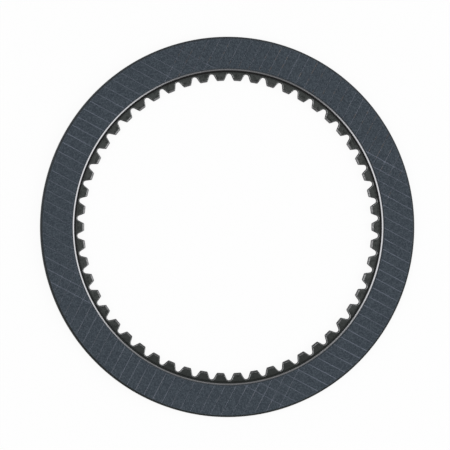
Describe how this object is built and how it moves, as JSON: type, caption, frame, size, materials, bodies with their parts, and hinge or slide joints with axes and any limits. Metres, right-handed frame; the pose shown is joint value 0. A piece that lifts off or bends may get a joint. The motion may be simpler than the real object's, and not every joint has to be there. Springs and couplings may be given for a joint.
{
  "type": "clutch disc",
  "caption": "Flat ring-shaped wet clutch friction disc: a steel core with an internal involute spline, faced on both sides with grooved friction material.",
  "frame": {"origin": "centre of the core plate, halfway through its thickness", "axes": "+Z along the disc's axis out of the front facing; +X through the middle of one spline tooth"},
  "size_m": [0.2194, 0.2194, 0.005],
  "materials": {
    "core_steel": "dark oiled steel with a bright turned bevel",
    "friction_facing": "matt blue-grey friction material, paler in its grooves"
  },
  "bodies": {
    "root": {"core_plate": "core_steel", "front_facing": "friction_facing", "rear_facing": "friction_facing"}
  },
  "joints": []
}
